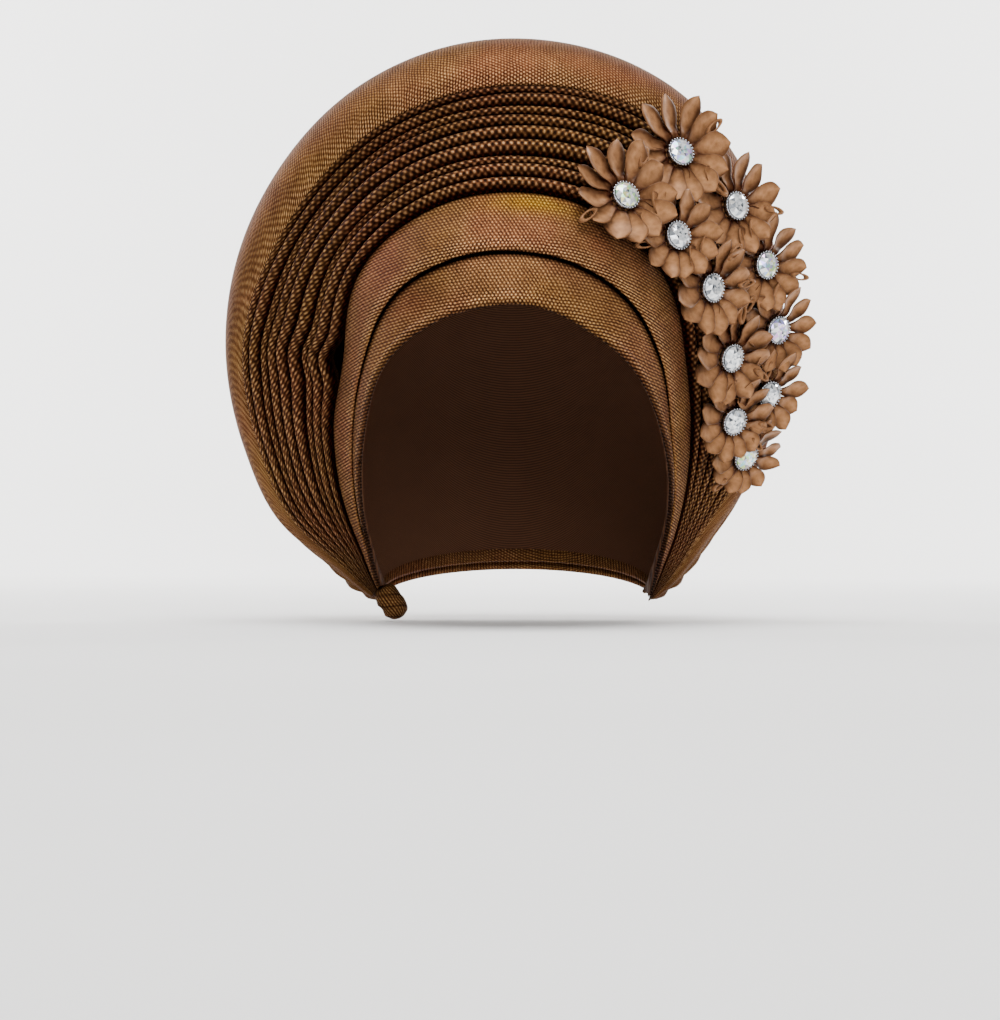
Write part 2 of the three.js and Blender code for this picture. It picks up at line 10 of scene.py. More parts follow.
import bpy
import numpy as np
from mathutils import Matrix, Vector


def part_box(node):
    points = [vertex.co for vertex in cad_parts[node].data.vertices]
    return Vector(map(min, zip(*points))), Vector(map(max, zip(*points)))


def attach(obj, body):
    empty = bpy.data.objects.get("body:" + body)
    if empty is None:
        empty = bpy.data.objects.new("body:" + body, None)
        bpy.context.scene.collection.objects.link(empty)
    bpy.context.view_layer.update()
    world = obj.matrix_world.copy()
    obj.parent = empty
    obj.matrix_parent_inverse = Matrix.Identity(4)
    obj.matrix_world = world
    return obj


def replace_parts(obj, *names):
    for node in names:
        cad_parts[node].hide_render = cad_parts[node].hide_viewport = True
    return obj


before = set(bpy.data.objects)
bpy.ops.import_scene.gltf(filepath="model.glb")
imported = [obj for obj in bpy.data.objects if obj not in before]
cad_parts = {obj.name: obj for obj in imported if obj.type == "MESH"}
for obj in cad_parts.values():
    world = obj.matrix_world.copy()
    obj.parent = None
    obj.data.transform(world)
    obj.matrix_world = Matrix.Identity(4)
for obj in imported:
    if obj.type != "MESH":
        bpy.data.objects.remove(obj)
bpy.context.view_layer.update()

# ---- Sizes of the cloth, mm ----
CAP_WALL, BAND_WALL, FAN_WALL = 2.0, 1.8, 2.0
LAYER_GAP, DRAPE_GAP = 0.5, 1.8
TIE_BACK, TIE_DROP, FACE_DROP = 50.0, 178.0, 90.0
LEFT_END, TOP, RIGHT_END = 233.0, 90.0, -55.0
CAP_HALF, END_LIFT = 77.5, 5.0
LEFT_HALF, RIGHT_HALF = 0.742 * CAP_HALF, 0.723 * CAP_HALF
FACE_REACH = 1.303 * CAP_HALF
BROW_WIDTH, OVER_WIDTH, PANEL_WIDTH = 23.2, 23.5, 23.6
PLEAT_PITCH, PLEAT_DEPTH, PANEL_LIP = 5.33, 4.9, 4.2
FORWARD = (145.0, 136.0, 112.0, 74.0, 36.0)
FRONT_SHIFT = (-8.0, -6.6, -4.2, -1.0, 1.0)
BACK_SHIFT = 9.0
CROWN_REACH = math.hypot(TIE_BACK, TIE_DROP) + CAP_WALL

# Widths round the face: angle, opening, brow band, over-band, pleats, panel
SECTIONS = np.array([
    (-55, .99, .05, .045, .07, .07), (-33, .781, .159, .149, .283, .216),
    (-12, .62, .276, .323, .565, .301), (12, .5, .599, .391, .719, .483),
    (38, .4, .957, .715, .819, .686), (64, .368, 1, .957, 1.02, .805),
    (90, .367, .996, 1.009, 1, 1), (116, .389, 1.039, .923, .915, .962),
    (142, .461, .918, .694, .815, .767), (168, .572, .461, .319, .929, .403),
    (190, .653, .31, .306, .702, .322), (206, .746, .228, .217, .538, .25),
    (222, .874, .13, .094, .252, .119), (233, .985, .06, .05, .08, .075),
])
# Pleats from the inside out: width as a share of the pitch, height as a share of the depth
PLEATS = ((.98, .9), (1.11, 1), (.77, .65), (1.32, 1), (1.15, 1), (1.02, .85), (.77, .6), (1.11, .85),
          (.77, .65))
# Rows over the crown and down to the nape: tilt, reach, width, widest, stand, swell
CROWN = np.array([
    (114, 1.053, .99, .48, 1, 0), (105.7, 1, 1, .48, 1, 0), (98, .953, 1.01, .49, 1, 0),
    (90, .9, 1.01, .5, .7, .2), (82, .825, 1, .5, .5, .33), (73, .71, .985, .5, .3, .36),
    (64, .573, .955, .48, .14, .32), (54, .42, .905, .44, .05, .24), (44, .285, .84, .36, 0, .15),
    (32, .17, .77, .25, 0, .03),
])
RIM_CROWN, LAST_CROWN = 2, 9
CREASE, BAND_TOP, PANEL_EDGE, RIM, NAPE = 1, 2, 3, 4, 11
CAP_END = 12

# Flowers: angle, reach from the over-band (0) to the rim (1), size, spin and lean in degrees
FLOWERS = (
    (63.0, .087, 1.05, 4, -8), (57.5, .565, 1.07, 11, -9), (42.8, .672, 1.0, 20, -5),
    (46.9, .147, .9, 7, -12), (31.6, .205, .95, 15, -9), (29.6, .744, .95, 25, -3),
    (12.7, .308, .95, 2, -6), (16.2, .785, .88, 12, -3), (-4.3, .361, .85, 18, -8),
    (2.6, .724, .85, 9, -2), (-12.6, .6, .82, 14, -5),
)
FLOWER_RADIUS, STONE_RADIUS = 20.0, 5.3
# Petals of a flower: how many, where they start, half their width, their rise, and the reach of the
# longest as a share of the solid flower's; and how many of them have an eyelet of ribbon behind
PETALS, PETAL_ROOT, PETAL_HALF, PETAL_RISE, PETAL_REACH, LOOPS = 12, 4.4, 4.3, 6.4, 1.16, 2
# Heights over a flower's seat: the foot of its crystal, and the middle of its solid stone
STONE_FOOT, STONE_MIDDLE = 5.15, 6.96
BEAD_RING, BEAD_HEIGHT, BEAD_RADIUS, BEADS = 5.85, 6.35, .52, 26
# Turned outlines: radius and height over the seat
PAD_OUTLINE = ((3, .1), (5.6, .1), (6.2, .7), (6.2, 2.6), (5.4, 3.3), (3, 3.3))
CUP_OUTLINE = ((1.8, 3.7), (5.6, 3.7), (6.1, 4.6), (5.9, 5.9), (5.45, 6.5), (5.3, 6.4), (4.6, 5.2), (1.8, 4.6))
# The crystal: radii of its table, star corners, lower girdle and inner table corners as shares of the
# stone's, and the heights of its table, star corners, girdle and lower girdle
TABLE, STARS, LOW_GIRDLE, INNER_TABLE = .56, .8, .96, .3
TABLE_HEIGHT, STAR_HEIGHT, GIRDLE_HEIGHT, LOW_HEIGHT = 3.3, 2.75, 1.75, 1.45
# The part of the rainbow coat's colours painted as reflections on a stone's facets; the other stones are clear
CASTS = {1: (.66, .82), 2: (.82, 1), 6: (.7, 1), 8: (.88, 1), 11: (.68, .9)}

# Gathered ends: the last degrees where the rows draw together, and by what share at each end
TIED_ZONE, LEFT_TIE, RIGHT_TIE = 9, .25, .66
# Points over each ridge, and the ridge's height as the weave's map takes it, mm
ARCH_POINTS, MAP_RISE = 14, 4.2
# Painted shade on the roll of the hem, from its inner edge outwards
HEM_SHADE = (.9, .9, .88, .85, .8, .7, .5, .2)
# The wound end: its length, and its tilt away from straight down, degrees
END_LENGTH, END_TILT = 16, 35

# The weave as it shows: rows of raised floats 1.3 mm apart, each float 1.6 mm long, and 3.1 mm long
# where the cloth is gathered into ridges
FLOAT_LENGTH, ROW_PAIR, RIDGE_FLOAT = 1.6, 2.6, 3.1


def spline(xs, ys):
    """Cubic pieces through the points, each slope the mean slope towards its two neighbours."""
    xs, ys = np.asarray(xs, float), np.asarray(ys, float)
    n = np.arange(len(xs))
    low, high = np.maximum(n - 1, 0), np.minimum(n + 1, len(xs) - 1)
    slope = (ys[high] - ys[low]) / (xs[high] - xs[low])

    def at(x):
        x = np.asarray(x, float)
        i = np.clip(np.searchsorted(xs, x) - 1, 0, len(xs) - 2)
        width = xs[i + 1] - xs[i]
        t = np.clip((x - xs[i]) / width, 0, 1)
        rise = t * t * (3 - 2 * t)
        bend = slope[i] * t * (1 - t) ** 2 - slope[i + 1] * t * t * (1 - t)
        return ys[i] * (1 - rise) + ys[i + 1] * rise + width * bend

    return at


opening, brow, over, pleats, panel = (spline(SECTIONS[:, 0], SECTIONS[:, k]) for k in range(1, 6))
crown_at = [spline(np.arange(len(CROWN)), CROWN[:, k]) for k in range(6)]
PLEAT_ZONE = len(PLEATS) * PLEAT_PITCH


def point(x, y, z):
    return np.stack(np.broadcast_arrays(x, y, z), axis=-1)


def unit(v):
    return v / np.maximum(np.linalg.norm(v, axis=-1, keepdims=True), 1e-9)


def smooth(low, high, x):
    """0 below low, 1 above high, and 3t^2 - 2t^3 between."""
    t = np.clip((x - low) / (high - low), 0, 1)
    return t * t * (3 - 2 * t)


def radii(angle):
    """Distances from the face centre of the hem, crease, over-band top, panel edge and rim."""
    hem = FACE_REACH * opening(angle)
    crease = hem + BROW_WIDTH * brow(angle)
    top = crease + OVER_WIDTH * over(angle)
    edge = top + PLEAT_ZONE * pleats(angle)
    return hem, crease, top, edge, edge + PANEL_WIDTH * panel(angle)


SLOPES = [(FORWARD[k] + FRONT_SHIFT[k]) / (r - FACE_DROP + TIE_DROP) for k, r in enumerate(radii(TOP))]


def front_row(angle, k):
    """Row k of the front: a circle-like run at its own distance round the face, seen from the front,
    in a plane that leans forward from the tie line by the row's slope."""
    r, turn = radii(angle)[k], np.radians(angle)
    z = r * np.sin(turn) - FACE_DROP
    return point(r * np.cos(turn), TIE_BACK + FRONT_SHIFT[k] - SLOPES[k] * (z + TIE_DROP), z)


def crown(angle, row):
    """A row over the head: half an ellipse above its widest place, then an arc that closes in to the
    gathered end, in a plane through the tie line at the row's tilt."""
    tilt, reach, width, widest = (f(row) for f in crown_at[:4])
    left = angle > TOP
    end = np.where(left, LEFT_HALF, RIGHT_HALF)
    half = np.maximum(CAP_HALF * width, end * 1.02)
    top = CROWN_REACH * reach
    waist = top * widest
    turn = np.abs(angle - TOP)
    last = np.where(left, LEFT_END - TOP, TOP - RIGHT_END)
    arch = np.radians(np.minimum(turn, 90))
    last_swing = np.arccos(end / half)
    swing = last_swing * np.maximum(turn - 90, 0) / (last - 90)
    fall = np.sin(swing) / np.sin(last_swing)
    x = np.where(turn < 90, half * np.sin(arch), half * np.cos(swing))
    up = np.where(turn < 90, waist + (top - waist) * np.cos(arch), waist * (1 - fall) + END_LIFT * fall)
    tilt = np.radians(tilt)
    back = TIE_BACK + BACK_SHIFT * row / LAST_CROWN
    return point(np.where(left, -x, x), back + up * np.cos(tilt), up * np.sin(tilt) - TIE_DROP)


def normal_of(surface, angle, row, low, high):
    """Outward normal: the cross product of the steps along the angle and across the rows."""
    before = surface(np.minimum(angle + 1.5, LEFT_END), row)
    after = surface(np.maximum(angle - 1.5, RIGHT_END), row)
    inner = surface(angle, np.maximum(row - .25, low))
    outer = surface(angle, np.minimum(row + .25, high))
    return unit(np.cross(after - before, outer - inner))


def crown_normal(angle, row):
    return normal_of(crown, angle, row, 0, LAST_CROWN)


def back_row(angle, row):
    """The fan's back: the cap's row, moved by a share of the rim's own height over the cap and
    swelled straight out from the cap."""
    k = row - RIM + RIM_CROWN
    rise = front_row(angle, 4) - crown(angle, RIM_CROWN)
    stand, swell = crown_at[4](k)[..., None], crown_at[5](k)[..., None]
    out = swell * np.linalg.norm(rise, axis=-1, keepdims=True) + (1 - stand) * (DRAPE_GAP + FAN_WALL)
    return crown(angle, k) + rise * stand + crown_normal(angle, k) * out


def wrap(angle, row):
    """The smooth outer surface: straight between rows 1, 2 and 3, a quarter ellipse over the rim
    from 3 to 4, and the fan's back from 4 to the nape."""
    angle, row = np.asarray(angle, float), np.asarray(row, float)
    lines = [front_row(angle, k) for k in range(5)]
    share = row[..., None]
    flat = np.where(share < 2, lines[1] + (lines[2] - lines[1]) * (share - 1),
                    lines[2] + (lines[3] - lines[2]) * (share - 2))
    roll = np.radians(np.clip(share - 3, 0, 1) * 90)
    bend = np.concatenate([np.sin(roll), 1 - np.cos(roll), np.sin(roll)], axis=-1)
    rolled = lines[3] + (lines[4] - lines[3]) * bend
    out = np.where(share < 3, flat, rolled)
    if row.max() > RIM:
        out = np.where(share > RIM, back_row(angle, np.clip(row, RIM, NAPE)), out)
    return out


def wrap_normal(angle, row):
    return normal_of(wrap, angle, row, CREASE, NAPE)


def lifted(angle, row, height):
    return wrap(angle, row) + wrap_normal(angle, row) * np.asarray(height)[..., None]


def cap_surface(angle, row):
    """The cap: the brow band from the hem to the crease, on under the over-band, and over the head."""
    angle, row = np.asarray(angle, float), np.asarray(row, float)
    hem = front_row(angle, 0)
    crease, top = (lifted(angle, np.full_like(angle, k), np.full_like(angle, -BAND_WALL - LAYER_GAP))
                   for k in (CREASE, BAND_TOP))
    share = row[..., None]
    first = crown(angle, np.zeros_like(angle))
    out = np.where(share < 1, hem + (crease - hem) * share, crease + (top - crease) * (share - 1))
    out = np.where(share > 2, top + (first - top) * (share - 2), out)
    return np.where(share > 3, crown(angle, np.clip(row - 3, 0, LAST_CROWN)), out)


# ---- Meshes ----
def ring_faces(stations, count, closed=True):
    """Quads between runs of points: station by station, and round each run if it is closed."""
    s, i = np.meshgrid(np.arange(stations - 1), np.arange(count if closed else count - 1), indexing="ij")
    a, b = s * count + i, s * count + (i + 1) % count
    return np.stack([a, b, b + count, a + count], axis=-1).reshape(-1, 4)


def new_piece(name, points, faces, material, uv=None, values=None, flat_shaded=False, ends=()):
    """A mesh object from points in mm and faces, with the weave's map and named values for each point."""
    mesh = bpy.data.meshes.new(name)
    points = np.asarray(points, float).reshape(-1, 3)
    faces = faces if isinstance(faces, list) else faces.tolist()
    mesh.from_pydata((points * .001).tolist(), [], faces + list(ends))
    mesh.validate()
    corner = np.zeros(len(mesh.loops), dtype=np.int64)
    mesh.loops.foreach_get("vertex_index", corner)
    if uv is not None:
        layer = mesh.uv_layers.new(name="weave")
        layer.data.foreach_set("uv", np.asarray(uv, float).reshape(-1, 2)[corner].ravel())
    for key, value in (values or {}).items():
        attribute = mesh.attributes.new(key, "FLOAT", "POINT")
        attribute.data.foreach_set("value", np.asarray(value, float).ravel())
    mesh.polygons.foreach_set("use_smooth", np.full(len(mesh.polygons), not flat_shaded))
    mesh.materials.append(material)
    mesh.update()
    obj = bpy.data.objects.new(name, mesh)
    bpy.context.scene.collection.objects.link(obj)
    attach(obj, "root")
    return obj


def tube_faces(points):
    """Faces of closed tubes, each a run of closed rings with both ends shut, turned outwards: the
    volume that they enclose, summed from tetrahedra to the origin, comes out positive."""
    tubes, rings, count = points.shape[:3]
    quads = ring_faces(rings, count)
    shift = np.arange(tubes)[:, None] * rings * count
    quads = (quads[None] + shift[..., None]).reshape(-1, 4)
    ends = np.concatenate([np.arange(count - 1, -1, -1) + shift,
                           np.arange(count) + (rings - 1) * count + shift])
    a, b, c, d = (points.reshape(-1, 3)[quads[:, k]] for k in range(4))
    if np.sum(a * np.cross(b, c) + a * np.cross(c, d)) < 0:
        quads, ends = quads[:, ::-1], ends[:, ::-1]
    return quads, ends.tolist()


def cloth_loft(name, points, material, uv, values):
    """A closed cloth wall from outlines, station by station, with both gathered ends closed."""
    faces, ends = tube_faces(points[None])
    return new_piece(name, points, faces, material, uv, values, ends=ends)


def tied(points, angle):
    """The rows drawn together at both gathered ends: each station shrinks towards the middle of the
    wrap there, by LEFT_TIE or RIGHT_TIE at the very end and not at all TIED_ZONE degrees before it."""
    rows = np.broadcast_to(np.linspace(CREASE, NAPE, 21), (angle.shape[0], 21))
    middle = wrap(angle, rows).mean(axis=1, keepdims=True)
    near = np.clip(np.minimum(LEFT_END - angle, angle - RIGHT_END) / TIED_ZONE, 0, 1)
    most = np.where(angle > TOP, LEFT_TIE, RIGHT_TIE)
    return middle + (points - middle) * (1 - most * (1 - near) ** 2)[..., None]


def along(points):
    """Distance along each row in mm, from the top of the head, positive towards the last station."""
    step = np.linalg.norm(np.diff(points, axis=0), axis=-1)
    run = np.concatenate([np.zeros((1, points.shape[1])), np.cumsum(step, axis=0)])
    return run - run[np.argmin(np.abs(STATIONS - TOP))]


def facing_map(points, left, right):
    """The weave's threads as they lie on the front: level ones that droop to both sides, in a curve
    of the given half radius on the left and on the right."""
    x, z = points[..., 0], points[..., 2]
    return np.stack([x, z + x * x / np.where(x < 0, left, right)], axis=-1)


STATIONS = np.linspace(LEFT_END, RIGHT_END, 331)
ANGLE = STATIONS[:, None]


# ---- Materials ----
def colour(code):
    """sRGB hex to linear."""
    c = np.array([int(code[i:i + 2], 16) / 255 for i in (1, 3, 5)])
    return (*np.where(c <= .04045, c / 12.92, ((c + .055) / 1.055) ** 2.4), 1.0)


def add(tree, kind, settings=None, links=None):
    """A node with its settings, by attribute or by input, and its links."""
    node = tree.nodes.new(kind)
    for key, value in (settings or {}).items():
        if isinstance(key, str) and hasattr(node, key):
            setattr(node, key, value)
        else:
            node.inputs[key].default_value = value
    for key, source in (links or {}).items():
        tree.links.new(source, node.inputs[key])
    return node


def ramp(tree, source, stops):
    node = add(tree, "ShaderNodeValToRGB", links={0: source})
    node.color_ramp.elements[0].position, node.color_ramp.elements[0].color = stops[0][0], colour(stops[0][1])
    node.color_ramp.elements[1].position, node.color_ramp.elements[1].color = stops[-1][0], colour(stops[-1][1])
    for place, code in stops[1:-1]:
        node.color_ramp.elements.new(place).color = colour(code)
    return node.outputs["Color"]


def new_material(name):
    material = bpy.data.materials.new(name)
    material.use_nodes = True
    tree = material.node_tree
    return material, tree, tree.nodes["Principled BSDF"]


def woven_bronze_cloth(name, shades):
    """Bronze lurex damask: shiny floats over a dark ground. The floats lie in rows, every second row
    half a float along, so they read as lit dots, or as ribs where the cloth is pulled on the bias.
    Four values of a piece steer it: relief is how strongly the floats show, dots parts the ribs into
    dots, painted_highlight lays a painted yellow highlight over the cloth, and painted_shade is painted shade
    that darkens it in folds, valleys and hollows."""
    material, tree, shader = new_material(name)
    weave = add(tree, "ShaderNodeUVMap", {"uv_map": "weave"}).outputs["UV"]
    wander = add(tree, "ShaderNodeTexNoise", {"Scale": .11, "Detail": 2.0}, {"Vector": weave})
    shift = add(tree, "ShaderNodeVectorMath", {"operation": "SUBTRACT", 1: (.5, .5, .5)},
                {0: wander.outputs["Color"]})
    shift = add(tree, "ShaderNodeVectorMath", {"operation": "SCALE", "Scale": 1.6}, {0: shift.outputs[0]})
    place = add(tree, "ShaderNodeVectorMath", {"operation": "ADD"}, {0: weave, 1: shift.outputs[0]})

    def wave(across, along_rows):
        turned = add(tree, "ShaderNodeVectorMath", {"operation": "DOT_PRODUCT", 1: (
            2 * math.pi * across / FLOAT_LENGTH, 2 * math.pi * along_rows / ROW_PAIR, 0)}, {0: place.outputs[0]})
        return add(tree, "ShaderNodeMath", {"operation": "COSINE"}, {0: turned.outputs["Value"]}).outputs[0]

    relief = add(tree, "ShaderNodeAttribute", {"attribute_name": "relief"}).outputs["Fac"]
    even = add(tree, "ShaderNodeMath", {"operation": "MULTIPLY", 1: .48}, {0: relief}).outputs[0]
    floats = add(tree, "ShaderNodeMix", {"data_type": "FLOAT"},
                 {0: even, 2: wave(1, 1), 3: wave(1, -1)}).outputs[0]
    ribs = wave(0, 2)
    dots = add(tree, "ShaderNodeAttribute", {"attribute_name": "dots"}).outputs["Fac"]
    height = add(tree, "ShaderNodeMix", {"data_type": "FLOAT"}, {0: dots, 2: ribs, 3: floats}).outputs[0]
    height = add(tree, "ShaderNodeMapRange", {1: -1.0, 2: 1.0, 3: 0.0, 4: 1.0}, {0: height}).outputs[0]
    grain = add(tree, "ShaderNodeTexNoise", {"Scale": 1.1, "Detail": 3.0}, {"Vector": weave}).outputs["Fac"]
    uneven = add(tree, "ShaderNodeMath", {"operation": "MULTIPLY_ADD", 1: .9, 2: -.45}, {0: grain}).outputs[0]
    height = add(tree, "ShaderNodeMath", {"operation": "ADD", "use_clamp": True},
                 {0: height, 1: uneven}).outputs[0]
    height = add(tree, "ShaderNodeMix", {"data_type": "FLOAT", 2: .5}, {0: relief, 3: height}).outputs[0]
    streaks = add(tree, "ShaderNodeTexNoise", {"Scale": .12, "Detail": 3.0}, {"Vector": weave}).outputs["Fac"]
    streaks = add(tree, "ShaderNodeMath", {"operation": "MULTIPLY_ADD", 1: .26, 2: -.13},
                  {0: streaks}).outputs[0]
    height = add(tree, "ShaderNodeMath", {"operation": "ADD", "use_clamp": True},
                 {0: height, 1: streaks}).outputs[0]
    shade = ramp(tree, height, shades)
    object_place = add(tree, "ShaderNodeTexCoord").outputs["Object"]
    patches = add(tree, "ShaderNodeTexNoise", {"Scale": 26.0, "Detail": 2.0}, {"Vector": object_place})
    cast = ramp(tree, patches.outputs["Fac"], [(.36, "#BF968C"), (.5, "#BCA591"), (.64, "#C4B088")])
    shade = add(tree, "ShaderNodeMix", {"data_type": "RGBA", "blend_type": "SOFT_LIGHT", 0: .7},
                {6: shade, 7: cast}).outputs[2]
    # Painted highlight: a yellow gleam laid over the colour where this value is high
    painted_highlight = add(tree, "ShaderNodeAttribute", {"attribute_name": "painted_highlight"}).outputs["Fac"]
    shade = add(tree, "ShaderNodeMix", {"data_type": "RGBA", "blend_type": "OVERLAY", 7: colour("#E0F27A")},
                {0: painted_highlight, 6: shade}).outputs[2]
    # Painted shade: darkens the colour towards dark red-brown where this value is high, in folds, valleys and
    # hollows
    painted_shade = add(tree, "ShaderNodeAttribute", {"attribute_name": "painted_shade"}).outputs["Fac"]
    with_painted_shade = add(tree, "ShaderNodeMix", {"data_type": "RGBA", "blend_type": "MULTIPLY", 7: colour("#481E12")},
               {0: painted_shade, 6: shade}).outputs[2]
    bump = add(tree, "ShaderNodeBump", {"Strength": .55, "Distance": .0006}, {"Height": height})
    rough = add(tree, "ShaderNodeMapRange", {1: 0.0, 2: 1.0, 3: .62, 4: .4}, {0: height}).outputs[0]
    shader.inputs["Metallic"].default_value = .5
    shader.inputs["Specular IOR Level"].default_value = .12
    shader.inputs["Specular Tint"].default_value = colour("#8C6A48")
    tree.links.new(with_painted_shade, shader.inputs["Base Color"])
    tree.links.new(rough, shader.inputs["Roughness"])
    tree.links.new(bump.outputs[0], shader.inputs["Normal"])
    return material


# Woven floats catch the light as gold; the ground between them is a dark red-brown.
bronze = woven_bronze_cloth("bronze_lurex_damask", [
    (0.0, "#120805"), (.3, "#3A2519"), (.6, "#6D5034"), (1.0, "#C09E74")])


def plain_lining():
    """Brown polyester lining: a plain close weave, matt, with threads drawn 1.2 mm apart."""
    material, tree, shader = new_material("brown_polyester_lining")
    place = add(tree, "ShaderNodeUVMap", {"uv_map": "weave"}).outputs["UV"]
    threads = add(tree, "ShaderNodeTexWave", {"Scale": .26, "Distortion": 1.0, "Detail": 2.0},
                  {"Vector": place})
    shade = ramp(tree, threads.outputs["Fac"], [(0.0, "#3A2317"), (1.0, "#5A3A26")])
    bump = add(tree, "ShaderNodeBump", {"Strength": .2, "Distance": .0003}, {"Height": threads.outputs["Fac"]})
    tree.links.new(shade, shader.inputs["Base Color"])
    tree.links.new(bump.outputs[0], shader.inputs["Normal"])
    shader.inputs["Roughness"].default_value = .8
    shader.inputs["Specular IOR Level"].default_value = .15
    return material


# ---- Camera, floor and light ----
camera_data = bpy.data.cameras.new("camera")
camera_data.sensor_fit = "HORIZONTAL"
camera_data.sensor_width = 36.0
camera_data.lens = 36.0 * 1600 / 430
camera = bpy.data.objects.new("camera", camera_data)
camera.location = (-.00731, -1.6, -.1376)
camera.rotation_euler = (math.pi / 2, 0, 0)
bpy.context.scene.collection.objects.link(camera)
bpy.context.scene.camera = camera


def soft_light(name, place, size, power, aim=(0, 0, -.06)):
    data = bpy.data.lights.new(name, "AREA")
    data.shape, data.size, data.size_y, data.energy = "RECTANGLE", size[0], size[1], power
    light = bpy.data.objects.new(name, data)
    light.location = place
    away = np.array(place) - np.array(aim)
    flat = math.hypot(away[0], away[1])
    light.rotation_euler = (math.atan2(flat, away[2]), 0, math.atan2(away[0], -away[1]))
    bpy.context.scene.collection.objects.link(light)


soft_light("top_light", (-.05, -.35, 1.15), (1.1, .9), 28)
soft_light("key_light", (.15, -1.5, .55), (.8, .6), 12)
soft_light("fill_light", (1.1, -1.1, .2), (.8, .9), 6)
soft_light("backdrop_light_left", (-1.3, 1.0, .9), (.6, 1.2), 60, aim=(-.2, 2.2, .3))
soft_light("backdrop_light_right", (1.3, 1.0, .9), (.6, 1.2), 60, aim=(.2, 2.2, .3))

world = bpy.data.worlds.new("studio")
world.use_nodes = True
world.node_tree.nodes["Background"].inputs["Color"].default_value = colour("#FBFAF8")
world.node_tree.nodes["Background"].inputs["Strength"].default_value = .36
bpy.context.scene.world = world


def sweep():
    """The floor under the piece, carried up behind it as a wall by a quarter circle."""
    material, tree, shader = new_material("white_paper_sweep")
    # Matt white backdrop paper; its pulp makes the white very slightly uneven.
    place = add(tree, "ShaderNodeTexCoord").outputs["Object"]
    spots = add(tree, "ShaderNodeTexNoise", {"Scale": 3.0}, {"Vector": place})
    shade = ramp(tree, spots.outputs["Fac"], [(.3, "#F7F6F4"), (.7, "#FBFAF9")])
    tree.links.new(shade, shader.inputs["Base Color"])
    shader.inputs["Roughness"].default_value = .9
    turn = np.linspace(0, np.pi / 2, 25)
    y = np.concatenate([[-3000], 1200 + 900 * np.sin(turn), [2100]])
    z = np.concatenate([[0], 900 * (1 - np.cos(turn)), [3200]]) - 187
    x = np.linspace(-3500, 3500, 2)[:, None]
    mesh = bpy.data.meshes.new("paper_sweep")
    mesh.from_pydata((point(x, y, z).reshape(-1, 3) * .001).tolist(), [],
                     ring_faces(2, len(y), closed=False).tolist())
    mesh.polygons.foreach_set("use_smooth", np.full(len(mesh.polygons), True))
    mesh.materials.append(material)
    obj = bpy.data.objects.new("paper_sweep", mesh)
    bpy.context.scene.collection.objects.link(obj)


sweep()


# ---- Cloth pieces ----
def brow_cap():
    """Outline of the cap at each angle: a rolled hem, the brow band with a soft bulge that dips under
    the over-band, the crown with faint gathers, the nape edge, and the lining inside."""
    hem_turn = np.radians(np.linspace(-90, 90, 9))
    band = np.linspace(0, 1, 30)[1:]
    hidden = np.linspace(1, 3, 9)[1:]
    over_head = np.linspace(3, CAP_END, 50)[1:]
    inside = np.linspace(CAP_END, 0, 44)
    width = np.maximum(BROW_WIDTH * brow(ANGLE), 1)
    roll = np.minimum(1.55, .3 * width)
    hem_row = -roll * np.cos(hem_turn) / width
    hem_height = (roll - CAP_WALL / 2) + np.sin(hem_turn) * roll - roll * .35
    outer_rows = np.concatenate([band, hidden, over_head])[None, :]
    bulge = 1.9 * brow(ANGLE) * np.sin(np.pi * np.clip(outer_rows, 0, 1)) ** .7
    rolled = (hem_height[:, -1:]) * (1 - smooth(0, .16, outer_rows))
    dip = -1.7 * smooth(.86, .97, outer_rows) * (1 - smooth(1.4, 2, outer_rows)) * np.minimum(brow(ANGLE), 1)
    gathers = .5 * smooth(3.5, 5, outer_rows) * np.sin(2 * np.pi * 2.1 * outer_rows + ANGLE / 23)
    outer_height = bulge + rolled + dip + gathers
    rows = np.concatenate([hem_row, np.broadcast_to(outer_rows, (len(STATIONS), outer_rows.size)),
                           np.broadcast_to(inside, (len(STATIONS), inside.size))], axis=1)
    inside_height = np.full((len(STATIONS), inside.size), -CAP_WALL)
    height = np.concatenate([hem_height, outer_height, inside_height], axis=1)
    points = cap_surface(ANGLE, rows)
    points = tied(points + normal_of(cap_surface, ANGLE, rows, 0, CAP_END) * height[..., None], ANGLE)
    # Painted shade: dark on the brow band just under the over-band's edge, .45 on the inside wall, and on the
    # roll of the hem
    painted_shade = smooth(.74, .92, rows) * (rows < 2.9)
    painted_shade = np.maximum(painted_shade, .45 * (height < -CAP_WALL + .05))
    painted_shade[:, :len(HEM_SHADE)] = np.maximum(painted_shade[:, :len(HEM_SHADE)], HEM_SHADE)
    dots = .35 + .4 * np.exp(-((ANGLE - 90) / 40) ** 2) + 0 * rows
    relief = .62 + .35 * np.exp(-(rows / .2) ** 2) + 0 * ANGLE
    uv = facing_map(points, 420, 330)
    run = along(points)
    beyond = rows > 2.9
    over_crown = np.cumsum(np.linalg.norm(np.diff(points, axis=1, prepend=points[:, :1]), axis=-1), axis=1)
    uv = np.where(beyond[..., None], np.stack([over_crown, run], axis=-1), uv)
    piece = cloth_loft("brow_cap", points, bronze, uv,
                       {"painted_shade": painted_shade, "dots": dots, "relief": relief})
    piece.data.materials.append(plain_lining())
    column = np.tile(np.arange(rows.shape[1]), len(STATIONS) - 1)
    lined = np.concatenate([column > rows.shape[1] - inside.size, [False, False]])
    piece.data.polygons.foreach_set("material_index", lined.astype(np.int32))
    return piece


